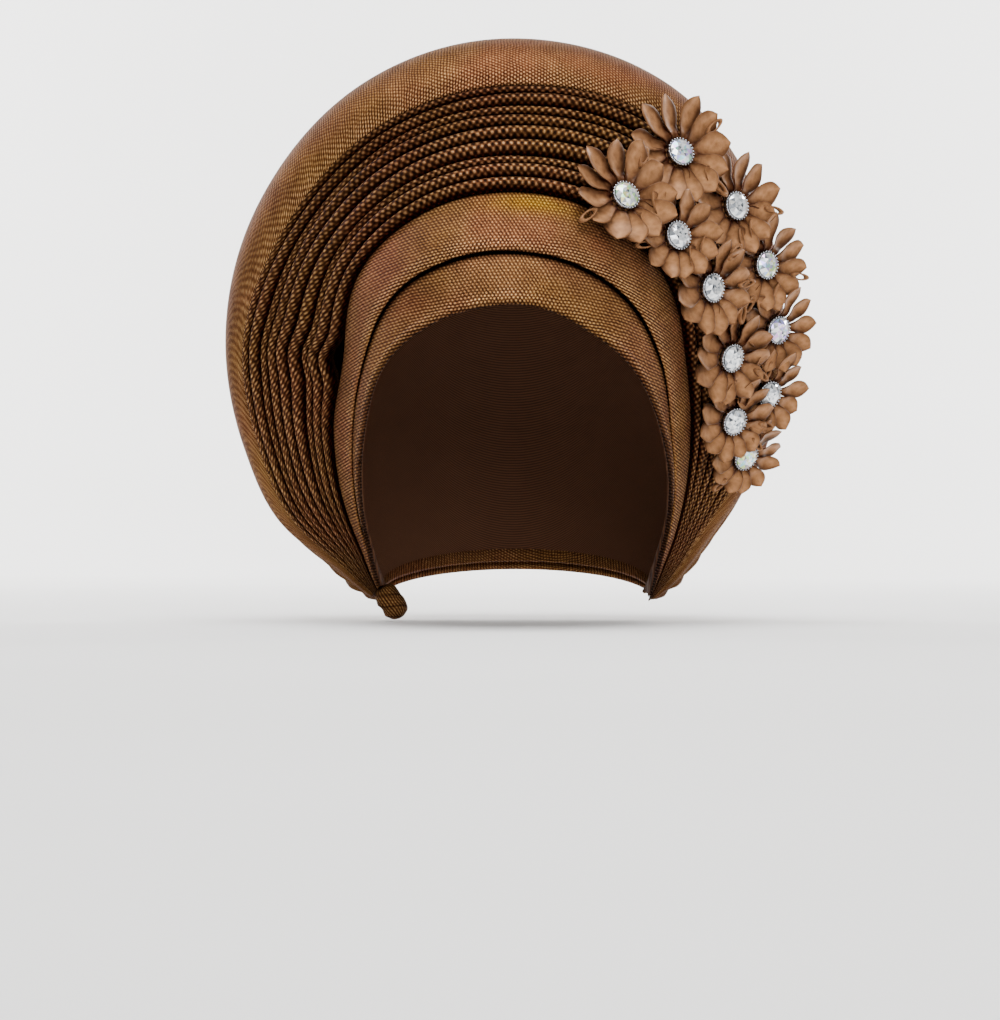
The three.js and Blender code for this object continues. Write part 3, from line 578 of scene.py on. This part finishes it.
def over_band():
    """Outline of the over-band: a folded lower edge that stands proud of the brow band, a soft bulge
    and the straight inside."""
    turn = np.radians(np.linspace(-90, 60, 9))
    shares = np.linspace(0, 1, 28)[1:]
    inside = np.linspace(1, 0, 14)
    width = np.maximum(OVER_WIDTH * over(ANGLE), 1)
    nose = np.minimum(1.5, .3 * width)
    fold_share = -nose * np.cos(turn) / width
    fold_height = -BAND_WALL / 2 + np.sin(turn) * (BAND_WALL / 2 + .7 * over(ANGLE))
    bulge = .8 + 1.3 * np.sin(np.pi * shares) ** .7
    outer_height = over(ANGLE) * bulge * (1 - .7 * smooth(.93, 1, shares)) - .3
    share = np.concatenate([fold_share, np.broadcast_to(shares, (len(STATIONS), shares.size)),
                            np.broadcast_to(inside, (len(STATIONS), inside.size))], axis=1)
    height = np.concatenate([fold_height, outer_height,
                             np.full((len(STATIONS), inside.size), -BAND_WALL)], axis=1)
    rows = CREASE + share * (1 - .15 / width)
    points = tied(wrap(ANGLE, rows) + wrap_normal(ANGLE, np.maximum(rows, 1)) * height[..., None], ANGLE)
    # Painted shade: dark at the top edge in the valley before the first ridge, under the folded lower edge, and
    # on the inside wall
    painted_shade = .75 * smooth(.96, 1.0, share) + .85 * (height < -1.2)
    # Painted highlight: a yellow gleam on the band's upper part over the top of the head
    painted_highlight = .9 * np.exp(-((ANGLE - 86) / 13) ** 2 - ((share - .76) / .2) ** 2)
    dots = .3 + .45 * np.exp(-((ANGLE - 96) / 30) ** 2) + 0 * share
    relief = .6 + .4 * np.exp(-(share / .12) ** 2)
    uv = facing_map(points, 330, 220)
    return cloth_loft("crossed_band", points, bronze, uv,
                      {"painted_shade": np.clip(painted_shade, 0, 1), "dots": dots, "painted_highlight": painted_highlight, "relief": relief})


def pleated_fan():
    """Outline of the fan: nine ridges, each a rounded arch with steep sides, the plain panel with a
    folded edge over the last ridge, the rim, the back with soft gathers, and the inside wall."""
    zone = PLEAT_ZONE * pleats(ANGLE)
    depth = np.minimum(PLEAT_DEPTH, zone / len(PLEATS) * .95)
    gap = 5 * np.exp(-((ANGLE - 167.5) / 5.2) ** 2)
    first = .15 / np.maximum(zone, 1) + gap / zone
    turn = np.linspace(0, np.pi, ARCH_POINTS, endpoint=False)
    across = .5 - .5 * np.sign(np.cos(turn)) * np.abs(np.cos(turn)) ** .92
    arch = np.abs(np.sin(turn)) ** .9
    rows, heights, painted_shades, uv_v, start = [], [], [], [], 0.0
    for j, (width, tall) in enumerate(PLEATS):
        wobble = .05 * np.sin(ANGLE / 13 + 2.1 * j) + .03 * np.sin(ANGLE / 5.7 + 4.4 * j)
        lean = -.07 * arch * width
        share = (start + across * width + lean + wobble * arch) / len(PLEATS)
        rows.append(BAND_TOP + first + (1 - first) * share)
        swell = 1 + .07 * np.sin(ANGLE / 21 + 1.7 * j)
        heights.append(depth * tall * arch * swell)
        # Painted shade: dark in the valleys and on each ridge's lower side. Over the top of the head the ridges
        # get darker towards the panel, painted shadow of its overhang, and every third ridge darker still
        valley_shade = 1 - smooth(.5, .97, arch) * (.5 + .5 * smooth(.25, .7, across))
        shade = .2 + (.08 + .05 * j + .05 * (j % 3 == 2)) * np.exp(-((ANGLE - 95) / 40) ** 2)
        painted_shades.append(shade + (1 - shade) * valley_shade)
        step = np.hypot(np.diff(across, append=1) * width * PLEAT_PITCH, np.diff(arch, append=0) * MAP_RISE)
        done = np.concatenate([[0], np.cumsum(step)[:-1]]) / step.sum()
        uv_v.append(np.broadcast_to(ROW_PAIR * (3 * j + 3 * done - .25), rows[-1].shape))
        start += width
    wide = np.maximum(PANEL_WIDTH * panel(ANGLE), 1)
    lip = PANEL_LIP * panel(ANGLE)
    nose = np.radians(np.linspace(-80, 90, 9))
    nose_in = np.minimum(1.3, .3 * wide)
    rows.append(PANEL_EDGE - nose_in * np.cos(nose) / np.maximum(zone, 1))
    heights.append(lip * (.5 + .5 * np.sin(nose)))
    # Painted shade under the panel's folded edge
    painted_shades.append(np.broadcast_to(1 - smooth(-.2, .8, np.sin(nose)), rows[-1].shape))
    shares = np.linspace(0, 1, 26)[1:]
    rows.append(PANEL_EDGE + np.broadcast_to(shares, (len(STATIONS), shares.size)))
    heights.append(lip * np.cos(shares * np.pi / 2)
                   + .3 * np.sin(ANGLE / 9 + 3 * shares) * np.sin(np.pi * shares))
    painted_shades.append(np.zeros(rows[-1].shape))
    back = np.linspace(RIM, NAPE, 52)[1:]
    rows.append(np.broadcast_to(back, (len(STATIONS), back.size)))
    gather = smooth(4.6, 6.2, back) * (1 - smooth(10.2, 11, back)) * smooth(
        5, 40, np.minimum(LEFT_END - ANGLE, ANGLE - RIGHT_END))
    heights.append(.9 * gather * np.sin(2 * np.pi * 1.15 * back + .6 * np.sin(ANGLE / 31)))
    # Painted shade in the hollows of the back's gathers
    painted_shades.append(gather * .25 * (1 - np.sin(2 * np.pi * 1.15 * back)))
    inner_back = np.linspace(NAPE, RIM, 26)
    rows.append(np.broadcast_to(inner_back, (len(STATIONS), inner_back.size)))
    heights.append(np.full(rows[-1].shape, -FAN_WALL))
    inner_panel = np.linspace(1, 0, 9)[1:]
    rows.append(PANEL_EDGE + .1 + .9 * np.broadcast_to(inner_panel, (len(STATIONS), inner_panel.size)))
    heights.append(lip * np.cos(inner_panel * np.pi / 2) - FAN_WALL)
    inner_zone = np.linspace(1, 0, 12)
    rows.append(BAND_TOP + first + (1 - first) * inner_zone)
    heights.append(np.full(rows[-1].shape, -FAN_WALL))
    # Painted shade of .3 on the inside walls
    painted_shades += [np.full(r.shape, .3) for r in rows[len(painted_shades):]]
    counts = np.cumsum([r.shape[1] for r in rows])
    rows, heights, painted_shades = (np.concatenate(part, axis=1) for part in (rows, heights, painted_shades))
    points = tied(wrap(ANGLE, rows) + wrap_normal(ANGLE, rows) * heights[..., None], ANGLE)
    run = along(points)
    ridge_end, panel_end = counts[len(PLEATS) - 1], counts[len(PLEATS) + 1]
    step = np.linalg.norm(np.diff(points, axis=1, prepend=points[:, :1]), axis=-1)
    over_rim = np.cumsum(step, axis=1)
    over_rim = over_rim - over_rim[:, panel_end - 1:panel_end]
    uv = np.stack([over_rim, run], axis=-1)
    mid = run[:, ARCH_POINTS // 2:ridge_end:ARCH_POINTS].repeat(ARCH_POINTS, axis=1)
    slant = .8 * smooth(112, 160, ANGLE) + .5 * smooth(40, 0, ANGLE)
    slid = np.cumsum(slant * np.gradient(mid, axis=0), axis=0)
    uv[:, :ridge_end, 0] = mid * FLOAT_LENGTH / RIDGE_FLOAT
    uv[:, :ridge_end, 1] = np.concatenate(uv_v, axis=1) + slid * .5
    column = np.arange(rows.shape[1])[None, :]
    dots = np.where(column < ridge_end, .95 - .4 * smooth(105, 150, ANGLE),
                    .35 + .35 * np.exp(-((ANGLE - 80) / 28) ** 2))
    relief = np.where(column < ridge_end, 1, .56 + .4 * np.exp(-((rows - PANEL_EDGE) / .14) ** 2))
    return cloth_loft("pleated_cloth", points, bronze, uv,
                      {"painted_shade": painted_shades, "dots": dots, "relief": relief})


cap_piece = brow_cap()
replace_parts(cap_piece, "cap")
band_piece = over_band()
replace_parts(band_piece, "over_band")
fan_piece = pleated_fan()
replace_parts(fan_piece, "pleated_fan")


# ---- Flowers, settings and crystals ----
def flower_frame(number):
    """Origin and axes of a flower: on the wrap, lifted to where its seat is, with its axis along the
    cloth's normal, leaned outwards, and turned by its spin."""
    angle, reach, size, spin, lean = FLOWERS[number - 1]
    top, edge, rim = radii(angle)[2:]
    r = top + reach * (rim - top)
    row = BAND_TOP + (r - top) / (edge - top) if r < edge else PANEL_EDGE + (r - edge) / (rim - edge)
    spot = np.array([[angle]]), np.array([[row]])
    origin, axis = wrap(*spot)[0, 0], wrap_normal(*spot)[0, 0]
    side = unit(np.cross((0, -1, 0), axis))
    lean, spin = math.radians(lean), math.radians(spin)
    axis = axis * math.cos(lean) + np.cross(side, axis) * math.sin(lean)
    across = unit(np.array((0, 0, 1)) - axis * axis[2])
    across = across * math.cos(spin) + np.cross(axis, across) * math.sin(spin)
    # Half the sum of the solid stone's corners is its middle; 1000 turns metres into mm
    stone = np.sum([list(corner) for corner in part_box(f"stone_{number:02d}")], axis=0) * 500
    seat = np.dot(stone - origin, axis) - STONE_MIDDLE
    return origin + axis * seat, np.stack([across, np.cross(axis, across), axis])


def placed(local, number):
    origin, axes = flower_frame(number)
    return origin + local @ axes


def petals(radius, seed):
    """Ribbon petals, each a closed leaf: half width by a spline that is widest at 0.7 of its length
    and pointed at the tip, rising as the reach to the power 1.6, cupped by the way across to the
    power 1.7, and tilted so that one side lies over the next petal. Painted shade is darkest at the
    root, towards both sides and on the underside, and leaves a painted highlight as a light streak
    just off the middle."""
    chance = np.random.default_rng(seed)
    count, size = PETALS, radius / FLOWER_RADIUS
    s = np.linspace(0, 1, 14)[None, :, None]
    turn = np.linspace(0, 2 * np.pi, 14, endpoint=False)[None, None, :]

    def vary(low, high):
        return chance.uniform(low, high, count)[:, None, None]

    way = (2 * np.pi * (np.arange(count) / count) + chance.uniform(-.05, .05, count))[:, None, None]
    root, tip = PETAL_ROOT, radius * vary(.93, 1.03) * (1 + .07 * np.cos(way))
    profile = spline([0, .2, .4, .56, .68, .82, .92, 1], [.2, .46, .78, .97, 1, .82, .5, .02])
    half = PETAL_HALF * size * vary(.9, 1.1) * profile(s)
    r = root + (tip - root) * s
    side = np.sign(np.cos(turn)) * np.abs(np.cos(turn)) ** .85
    skew = vary(-.4, .4) * smooth(.6, 1, s) * 4 * size
    cup = size * (1.6 * (1 - s) ** 1.2 + vary(.7, 1.7) * smooth(0, .5, s)) * (1 - .7 * smooth(.75, 1, s))
    thick = .42 * (1 - .6 * smooth(.85, 1, s))
    layer = np.where(np.arange(count) % 2 == 1, .9, 0)[:, None, None]
    rise = PETAL_RISE * (r / radius) ** 1.6 + layer * smooth(0, .45, s) + vary(-1.4, .6) * smooth(.7, 1, s) ** 2
    collar = 2.3 * smooth(4.6, 6.8, r) * (1 - smooth(8, 13, r))
    height = 1.2 + rise + collar + cup * (np.abs(side) ** 1.7 - .45) + thick * np.sin(turn)
    height = height + side * half * vary(.2, .5) * smooth(.05, .4, s) - .45 * smooth(.85, 1, np.abs(side))
    x, y = r + 0 * turn, side * half + skew
    points = point(x * np.cos(way) - y * np.sin(way), x * np.sin(way) + y * np.cos(way), height)
    # Painted shade: darkest at the root and towards both sides, which leaves a painted highlight as a light
    # streak just off the middle; the next line adds painted shade on the underside
    painted_shade = 1 - smooth(0, .48, s) + .95 * smooth(.1, 1.0, np.abs(side - .2)) * (1 - .2 * s)
    painted_shade = np.clip(painted_shade + .6 * smooth(.2, .9, -np.sin(turn)) + 0 * points[..., 0], 0, 1)
    return points, painted_shade, np.stack([r + 0 * height, y + 0 * height], axis=-1)


def ribbon_loops(radius, seed):
    """Small eyelets where the ribbon is folded back behind a tip: flat strips bent round an ellipse."""
    chance = np.random.default_rng(seed + 50)
    count, size = LOOPS, radius / FLOWER_RADIUS
    turn = np.linspace(0, 2 * np.pi, 17, endpoint=True)[None, :, None]
    edge = np.linspace(0, 2 * np.pi, 6, endpoint=False)[None, None, :]
    pick = chance.choice(PETALS, count, replace=False)
    side = chance.choice([-1, 1], count)[:, None, None]
    long, wide = 3.6 * size, 1.2 * size
    out = 1 + .3 * np.cos(edge)
    x = .88 * radius + long * np.cos(turn) * out
    y = side * 2.3 * size + wide * np.sin(turn) * out
    z = 5.6 + 1.3 * np.sign(np.sin(edge)) * np.abs(np.sin(edge)) ** .5 + 0 * turn
    way = (2 * np.pi * pick / PETALS)[:, None, None]
    x, y, z = np.broadcast_arrays(x, y, z)
    return point(x * np.cos(way) - y * np.sin(way), x * np.sin(way) + y * np.cos(way), z)


def lathe(rings, sides):
    """Rings of (radius, height) turned about the axis."""
    rings = np.asarray(rings, float)
    turn = np.linspace(0, 2 * np.pi, sides, endpoint=False)[None, :]
    return point(rings[:, :1] * np.cos(turn), rings[:, :1] * np.sin(turn), rings[:, 1:])


def beads(radius, height, size, count):
    """A ring of small metal balls, each of a few rings round its own upright axis."""
    way = np.linspace(0, 2 * np.pi, count, endpoint=False)[:, None, None]
    up = np.radians(np.linspace(-80, 80, 5))[None, :, None]
    turn = np.linspace(0, 2 * np.pi, 6, endpoint=False)[None, None, :]
    r = size * np.cos(up)
    x = radius + r * np.cos(turn)
    y = r * np.sin(turn)
    z = height + size * np.sin(up) + 0 * turn
    x, y, z = np.broadcast_arrays(x, y, z)
    return point(x * np.cos(way) - y * np.sin(way), x * np.sin(way) + y * np.cos(way), z)


def gathered(parts):
    """Several sets of closed tubes as one set of points, quads and end faces."""
    points, quads, ends, start = [], [], [], 0
    for part in parts:
        faces, shut = tube_faces(part)
        points.append(part.reshape(-1, 3))
        quads.append(faces + start)
        ends += [[i + start for i in end] for end in shut]
        start += len(points[-1])
    return np.concatenate(points), np.concatenate(quads), ends


def crystal_points():
    """A round brilliant: a flat eight-sided table, star, kite and girdle facets, and a cone below. The
    table is parted into triangles, for the facets underneath that show through it."""
    eight = 2 * np.pi * np.arange(8) / 8
    sixteen = 2 * np.pi * np.arange(16) / 16
    between = eight + np.pi / 8

    def ring(share, turn, height):
        r = share * STONE_RADIUS
        return point(r * np.cos(turn), r * np.sin(turn), height)

    return np.concatenate([
        ring(TABLE, eight, TABLE_HEIGHT), ring(STARS, between, STAR_HEIGHT), ring(1, sixteen, GIRDLE_HEIGHT),
        ring(LOW_GIRDLE, sixteen, LOW_HEIGHT), point(0, 0, 0)[None], ring(INNER_TABLE, between, TABLE_HEIGHT),
        point(0, 0, TABLE_HEIGHT)[None]])


def crystal_faces():
    k = np.arange(8)
    after = (k + 1) % 8
    j = np.arange(16)
    next_j = (j + 1) % 16
    stars = np.stack([k, 8 + k, after], axis=-1)
    kites = np.stack([k, 16 + 2 * k, 8 + k], axis=-1), np.stack([k, 8 + (k - 1) % 8, 16 + 2 * k], axis=-1)
    edge = np.stack([8 + k, 16 + 2 * k, 16 + 2 * k + 1], axis=-1)
    edge_after = np.stack([8 + k, 16 + 2 * k + 1, 16 + (2 * k + 2) % 16], axis=-1)
    girdle = np.stack([16 + j, 32 + j, 32 + next_j, 16 + next_j], axis=-1)
    cone = np.stack([32 + j, np.full(16, 48), 32 + next_j], axis=-1)
    table = (np.stack([k, after, 49 + k], axis=-1), np.stack([49 + k, after, 49 + after], axis=-1),
             np.stack([49 + k, 49 + after, np.full(8, 57)], axis=-1))
    groups = (*table, stars, *kites, edge, edge_after, girdle, cone)
    return [face for group in groups for face in group.tolist()]


def satin_ribbon():
    """Polyester satin ribbon: long floats give a soft broad gloss along the ribbon; painted shade darkens
    it in the folds, and its weft shows as a very fine rib, drawn 0.7 mm apart so that it can be seen."""
    material, tree, shader = new_material("bronze_satin_ribbon")
    place = add(tree, "ShaderNodeUVMap", {"uv_map": "weave"}).outputs["UV"]
    mottle = add(tree, "ShaderNodeTexNoise", {"Scale": .35, "Detail": 3.0}, {"Vector": place})
    shade = ramp(tree, mottle.outputs["Fac"], [(.3, "#7E5638"), (.75, "#B07F57")])
    # Painted shade: darkens the colour towards dark brown where this value is high, at the petals' roots, sides
    # and undersides
    painted_shade = add(tree, "ShaderNodeAttribute", {"attribute_name": "painted_shade"}).outputs["Fac"]
    shade = add(tree, "ShaderNodeMix", {"data_type": "RGBA", "blend_type": "MULTIPLY", 7: colour("#442010")},
                {0: painted_shade, 6: shade}).outputs[2]
    ribs = add(tree, "ShaderNodeTexWave", {"Scale": .45, "Distortion": .6, "Detail": 1.0}, {"Vector": place})
    bump = add(tree, "ShaderNodeBump", {"Strength": .12, "Distance": .0002}, {"Height": ribs.outputs["Fac"]})
    tree.links.new(shade, shader.inputs["Base Color"])
    tree.links.new(bump.outputs[0], shader.inputs["Normal"])
    shader.inputs["Roughness"].default_value = .36
    shader.inputs["Specular IOR Level"].default_value = .42
    shader.inputs["Specular Tint"].default_value = colour("#D9A070")
    return material


def foiled_crystal():
    """Cut glass over a mirror foil with a rainbow coat: hard bright facets, each with a painted reflection as
    its colour.
    """
    material, tree, shader = new_material("foiled_crystal_glass")
    painted_reflection = add(tree, "ShaderNodeAttribute", {"attribute_name": "painted_reflection"}).outputs["Fac"]
    # Painted reflections: the facet's share picks a flat colour from dark grey through white to the rainbow
    # coat's yellow, green, blue and violet
    shade = ramp(tree, painted_reflection, [
        (0.0, "#4E545C"), (.12, "#9AA0A8"), (.3, "#E4E7EA"), (.6, "#FFFFFF"), (.7, "#F0E29A"),
        (.78, "#B9E68C"), (.86, "#9ADBEA"), (.94, "#B3A0F0"), (1.0, "#E9B8E6")])
    tree.links.new(shade, shader.inputs["Base Color"])
    shader.inputs["Metallic"].default_value = .55
    shader.inputs["Roughness"].default_value = .07
    shader.inputs["Coat Weight"].default_value = 1.0
    shader.inputs["Coat Roughness"].default_value = .02
    return material


def plated_cup():
    """Stamped brass plated with rhodium: pale grey, polished, a little darker in its dents."""
    material, tree, shader = new_material("rhodium_plated_brass")
    wear = add(tree, "ShaderNodeTexNoise", {"Scale": 900.0, "Detail": 2.0},
               {"Vector": add(tree, "ShaderNodeTexCoord").outputs["Object"]})
    shade = ramp(tree, wear.outputs["Fac"], [(.3, "#85878C"), (.7, "#BDBFC4")])
    tree.links.new(shade, shader.inputs["Base Color"])
    shader.inputs["Metallic"].default_value = 1.0
    shader.inputs["Roughness"].default_value = .2
    return material


satin, crystal, plating = satin_ribbon(), foiled_crystal(), plated_cup()


def ribbon_flower(number):
    """Petals, folded-back loops and the round pad that they are sewn to."""
    radius = PETAL_REACH * FLOWER_RADIUS * FLOWERS[number - 1][2]
    leaves, painted_shade, leaf_uv = petals(radius, number)
    loops = ribbon_loops(radius, number)
    pad = lathe(PAD_OUTLINE, 24)[None]
    points, faces, ends = gathered([leaves, loops, pad])
    rest = len(points) - painted_shade.size
    uv = np.concatenate([leaf_uv.reshape(-1, 2), points[-rest:, :2] + points[-rest:, 2:]])
    # Painted shade: the petals' own, and an even .4 on the loops and the pad
    values = {"painted_shade": np.concatenate([painted_shade.ravel(), np.full(rest, .4)])}
    return new_piece(f"ribbon_flower_{number:02d}", placed(points, number), faces, satin,
                     uv, values, ends=ends)


def beaded_cup(number):
    """The cup of a stone: a turned wall with a seat, and a ring of balls round its lip."""
    cup = lathe(CUP_OUTLINE, 32)
    points, faces, ends = gathered([cup[None], beads(BEAD_RING, BEAD_HEIGHT, BEAD_RADIUS, BEADS)])
    return new_piece(f"beaded_cup_{number:02d}", placed(points, number), faces, plating,
                     ends=ends)


def cut_crystal(number):
    """The stone, with a share for each facet that its painted reflection is taken from."""
    points, faces = crystal_points(), crystal_faces()
    points[:, 2] += STONE_FOOT
    stone = new_piece(f"crystal_{number:02d}", placed(points, number), faces, crystal,
                      flat_shaded=True)
    chance = np.random.default_rng(number + 20)
    # Painted reflections: each facet takes a grey to white tone at random, and on the stones in CASTS about 38
    # in a hundred facets take a colour of the rainbow coat
    painted_reflection = stone.data.attributes.new("painted_reflection", "FLOAT", "FACE")
    low, high = CASTS.get(number, (0, .62))
    share = chance.uniform(0, .62, len(stone.data.polygons))
    share = np.where(chance.uniform(0, 1, share.size) < .38, chance.uniform(low, high, share.size), share)
    painted_reflection.data.foreach_set("value", share)
    return stone


for number in range(1, len(FLOWERS) + 1):
    flower = ribbon_flower(number)
    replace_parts(flower, f"flower_{number:02d}")
    # Twelve petals cut across a ribbon of 20 mm, each 9 mm of its length, times the flower's size
    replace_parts(beaded_cup(number), f"setting_{number:02d}")
    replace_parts(cut_crystal(number), f"stone_{number:02d}")


def rolled_end():
    """The wound end of the cloth: a short barrel whose radius ripples along a spiral."""
    origin = crown(np.array([[LEFT_END]]), np.array([[0.0]]))[0, 0] + np.array((-2.4, -.6, 1.6))
    lean = math.radians(180 - END_TILT)
    axis = np.array((math.sin(lean), 0, math.cos(lean)))
    side = np.array((math.cos(lean), 0, -math.sin(lean)))
    z = np.linspace(0, END_LENGTH, 36)[:, None]
    turn = np.linspace(0, 2 * np.pi, 48, endpoint=False)[None, :]
    body = spline([0, 1, 3, 5.5, 8, 10.5, 13, 15, 16], [2.6, 4.4, 5.4, 5.9, 5.6, 5.9, 5.2, 3.6, 1.2])(z)
    r = body * (1 - .09 * np.abs(np.sin(1.5 * turn + z * .55)) ** .5 + .03)
    local = point(r * np.cos(turn), r * np.sin(turn), z)
    points = origin + local[..., :1] * side + local[..., 1:2] * np.array((0, 1, 0)) + local[..., 2:] * axis
    uv = np.stack([z + 0 * turn, 5.6 * turn + 0 * z], axis=-1)
    # Painted shade in the grooves of the spiral, over a base of .3
    painted_shade = smooth(.6, 1, 1 - np.abs(np.sin(1.5 * turn + z * .55)))
    return cloth_loft("rolled_cloth_end", points, bronze, uv,
                      {"painted_shade": .3 + .7 * painted_shade, "dots": .25 + 0 * painted_shade, "relief": .6 + 0 * painted_shade})


end_piece = rolled_end()
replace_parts(end_piece, "rolled_end")
